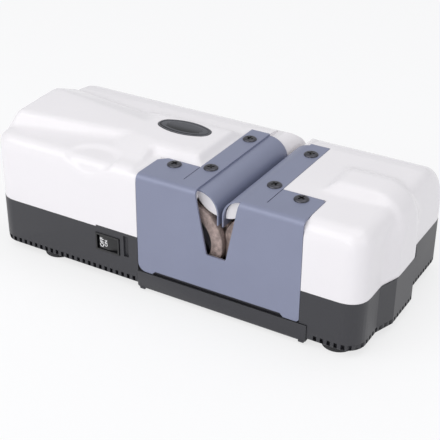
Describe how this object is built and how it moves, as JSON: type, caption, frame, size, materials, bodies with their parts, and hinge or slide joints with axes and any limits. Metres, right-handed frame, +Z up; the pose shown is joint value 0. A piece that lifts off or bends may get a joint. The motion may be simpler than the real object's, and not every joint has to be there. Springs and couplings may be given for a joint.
{
  "type": "electric knife sharpener",
  "caption": "Bench-top electric knife sharpener: a blade slot between bent steel guides leads down to interlocking grinding rings, with a rocker switch and a pull-out dust tray.",
  "frame": {"origin": "centre of the overall box at the surface the feet stand on", "axes": "+X along the length towards the short end, +Y to the back, +Z up"},
  "size_m": [0.33, 0.161, 0.1114],
  "materials": {
    "shell_white": "glossy moulded",
    "base_grey": "fine matte",
    "foot_rubber": "matte",
    "plate_paint": "satin powder coat",
    "screw_black": "black oxide",
    "zinc_steel": "zinc plated",
    "badge_dark": "glossy",
    "switch_black": "semi gloss",
    "abrasive": "vitrified grit",
    "turned_alu": "turned",
    "gear_steel": "milled",
    "belt_rubber": "matte",
    "lamination": "stacked sheet",
    "copper": "enamelled wire",
    "capacitor_can": "drawn can"
  },
  "bodies": {
    "housing": {"top_shell": "shell_white", "base_tub": "base_grey", "bottom_cover": "base_grey", "cover_screws": "zinc_steel", "feet": "foot_rubber", "foot_screws": "zinc_steel", "front_plate": "plate_paint", "guide_left": "plate_paint", "guide_right": "plate_paint", "plate_screws": "screw_black", "badge": "badge_dark", "switch_body": "switch_black", "cable_gland": "switch_black", "gland_nut": "switch_black", "bearing_plate_front": "zinc_steel", "bearing_plate_rear": "zinc_steel", "frame_tie_bars": "zinc_steel", "shaft_bearings": "gear_steel", "drive_belt": "belt_rubber", "motor_cradle": "zinc_steel", "motor_case": "zinc_steel", "motor_front_bell": "turned_alu", "motor_rear_bell": "turned_alu", "motor_bearings": "gear_steel", "stator_core": "lamination", "motor_winding": "copper", "run_capacitor": "capacitor_can"},
    "rocker": {"switch_rocker": "switch_black"},
    "tray": {"dust_tray": "base_grey"},
    "left_head": {"left_shaft": "gear_steel", "left_hub": "turned_alu", "left_stones": "abrasive", "left_spacers": "turned_alu", "left_clamp_nut": "screw_black", "left_gear": "gear_steel", "driven_pulley": "turned_alu"},
    "right_head": {"right_shaft": "gear_steel", "right_hub": "turned_alu", "right_stones": "abrasive", "right_spacers": "turned_alu", "right_clamp_nut": "screw_black", "right_gear": "gear_steel"},
    "rotor": {"rotor_shaft": "gear_steel", "rotor_core": "lamination", "cooling_fan": "switch_black", "drive_pulley": "turned_alu"}
  },
  "joints": [
    {"name": "rocker_tilt", "type": "hinge", "parent": "housing", "child": "rocker", "pos_m": [-0.051, -0.072, 0.0325], "axis": [0, 0, -1], "range_deg": [0, 14]},
    {"name": "tray_slide", "type": "slide", "parent": "housing", "child": "tray", "axis": [0, -1, 0], "range_m": [0, 0.052]},
    {"name": "left_head_spin", "type": "hinge", "parent": "housing", "child": "left_head", "pos_m": [0.01711, 0, 0.055], "axis": [0, 1, 0], "continuous": true},
    {"name": "right_head_spin", "type": "hinge", "parent": "housing", "child": "right_head", "pos_m": [0.07289, 0, 0.055], "axis": [0, 1, 0], "continuous": true},
    {"name": "rotor_spin", "type": "hinge", "parent": "housing", "child": "rotor", "pos_m": [-0.072, 0, 0.054], "axis": [0, 1, 0], "continuous": true}
  ],
  "couplings": [
    {"joint": "right_head_spin", "follows": "left_head_spin", "ratio": -1},
    {"joint": "rotor_spin", "follows": "left_head_spin", "ratio": 1.6667}
  ]
}
